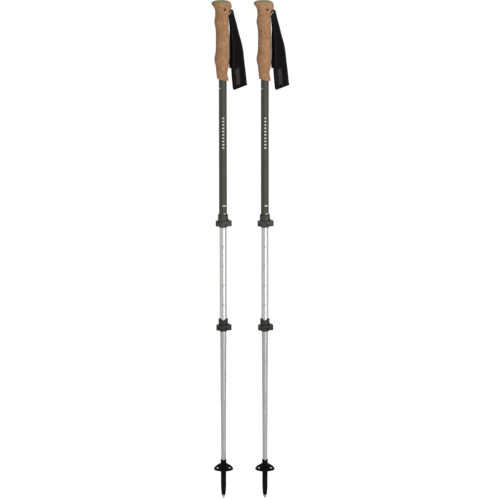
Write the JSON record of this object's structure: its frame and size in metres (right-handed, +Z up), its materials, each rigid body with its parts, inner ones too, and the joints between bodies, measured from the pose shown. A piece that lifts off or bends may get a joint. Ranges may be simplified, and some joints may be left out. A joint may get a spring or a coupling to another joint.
{
  "type": "trekking poles",
  "caption": "Pair of three-section telescoping walking poles with shaped cork grips, wrist loops, lever locks, slotted cone baskets and hard tips.",
  "frame": {"origin": "on the left pole's axis at the middle of its cork grip, where a hand holds it", "axes": "+Z up along the poles, +X from the finger side to the strap side and from the left pole to the right one, +Y away from the levers"},
  "size_m": [0.1957, 0.0492, 1.2778],
  "materials": {
    "cork": "agglomerated cork, sealed matt",
    "cap_rubber": "soft-touch, matt",
    "core_nylon": "moulded, matt",
    "webbing": "woven polyester",
    "painted_tube": "satin paint",
    "silver_tube": "fine satin anodised",
    "lock_nylon": "glass-filled nylon, matt",
    "bush_acetal": "moulded, matt",
    "steel": "stainless, plain",
    "tip_nylon": "moulded, matt",
    "carbide": "ground hard metal"
  },
  "bodies": {
    "left_grip_section": {"left_cork_grip": "cork", "left_grip_core": "core_nylon", "left_grip_cap": "cap_rubber", "left_strap_pin": "steel", "left_strap_wedge": "core_nylon", "left_strap_root": "webbing", "left_upper_tube": "painted_tube", "left_upper_collar": "lock_nylon", "left_upper_bolt": "steel", "left_upper_nut": "steel", "left_upper_lever_pin": "steel"},
    "left_strap": {"left_wrist_strap": "webbing", "left_strap_tail": "webbing"},
    "left_upper_lock_lever": {"left_upper_lever": "lock_nylon"},
    "left_middle_section": {"left_middle_tube": "silver_tube", "left_middle_bush": "bush_acetal", "left_lower_collar": "lock_nylon", "left_lower_bolt": "steel", "left_lower_nut": "steel", "left_lower_lever_pin": "steel"},
    "left_lower_lock_lever": {"left_lower_lever": "lock_nylon"},
    "left_lower_section": {"left_lower_tube": "silver_tube", "left_lower_bush": "bush_acetal", "left_tip_ferrule": "tip_nylon", "left_carbide_tip": "carbide"},
    "left_basket_body": {"left_basket": "tip_nylon"},
    "right_grip_section": {"right_cork_grip": "cork", "right_grip_core": "core_nylon", "right_grip_cap": "cap_rubber", "right_strap_pin": "steel", "right_strap_wedge": "core_nylon", "right_strap_root": "webbing", "right_upper_tube": "painted_tube", "right_upper_collar": "lock_nylon", "right_upper_bolt": "steel", "right_upper_nut": "steel", "right_upper_lever_pin": "steel"},
    "right_strap": {"right_wrist_strap": "webbing", "right_strap_tail": "webbing"},
    "right_upper_lock_lever": {"right_upper_lever": "lock_nylon"},
    "right_middle_section": {"right_middle_tube": "silver_tube", "right_middle_bush": "bush_acetal", "right_lower_collar": "lock_nylon", "right_lower_bolt": "steel", "right_lower_nut": "steel", "right_lower_lever_pin": "steel"},
    "right_lower_lock_lever": {"right_lower_lever": "lock_nylon"},
    "right_lower_section": {"right_lower_tube": "silver_tube", "right_lower_bush": "bush_acetal", "right_tip_ferrule": "tip_nylon", "right_carbide_tip": "carbide"},
    "right_basket_body": {"right_basket": "tip_nylon"}
  },
  "joints": [
    {"name": "left_strap_swing", "type": "hinge", "parent": "left_grip_section", "child": "left_strap", "pos_m": [0.024, 0, 0.079], "axis": [1, 0, 0], "range_deg": [-60, 60]},
    {"name": "left_upper_lever_turn", "type": "hinge", "parent": "left_grip_section", "child": "left_upper_lock_lever", "pos_m": [-0.0156, -0.0098, -0.458], "axis": [0, 0, -1], "range_deg": [0, 150]},
    {"name": "left_middle_slide", "type": "slide", "parent": "left_grip_section", "child": "left_middle_section", "axis": [0, 0, 1], "range_m": [-0.075, 0.232]},
    {"name": "left_lower_lever_turn", "type": "hinge", "parent": "left_middle_section", "child": "left_lower_lock_lever", "pos_m": [-0.0146, -0.0098, -0.7255], "axis": [0, 0, -1], "range_deg": [0, 150]},
    {"name": "left_lower_slide", "type": "slide", "parent": "left_middle_section", "child": "left_lower_section", "axis": [0, 0, 1], "range_m": [-0.045, 0.334]},
    {"name": "left_basket_slide", "type": "slide", "parent": "left_lower_section", "child": "left_basket_body", "axis": [0, 0, -1], "range_m": [0, 0.11]},
    {"name": "right_strap_swing", "type": "hinge", "parent": "right_grip_section", "child": "right_strap", "pos_m": [0.129, 0, 0.079], "axis": [1, 0, 0], "range_deg": [-60, 60]},
    {"name": "right_upper_lever_turn", "type": "hinge", "parent": "right_grip_section", "child": "right_upper_lock_lever", "pos_m": [0.0894, -0.0098, -0.458], "axis": [0, 0, -1], "range_deg": [0, 150]},
    {"name": "right_middle_slide", "type": "slide", "parent": "right_grip_section", "child": "right_middle_section", "axis": [0, 0, 1], "range_m": [-0.075, 0.232]},
    {"name": "right_lower_lever_turn", "type": "hinge", "parent": "right_middle_section", "child": "right_lower_lock_lever", "pos_m": [0.0904, -0.0098, -0.7255], "axis": [0, 0, -1], "range_deg": [0, 150]},
    {"name": "right_lower_slide", "type": "slide", "parent": "right_middle_section", "child": "right_lower_section", "axis": [0, 0, 1], "range_m": [-0.045, 0.334]},
    {"name": "right_basket_slide", "type": "slide", "parent": "right_lower_section", "child": "right_basket_body", "axis": [0, 0, -1], "range_m": [0, 0.11]},
    {"name": "right_pole_apart", "type": "slide", "parent": "left_grip_section", "child": "right_grip_section", "axis": [1, 0, 0], "range_m": [0, 0.3]}
  ]
}
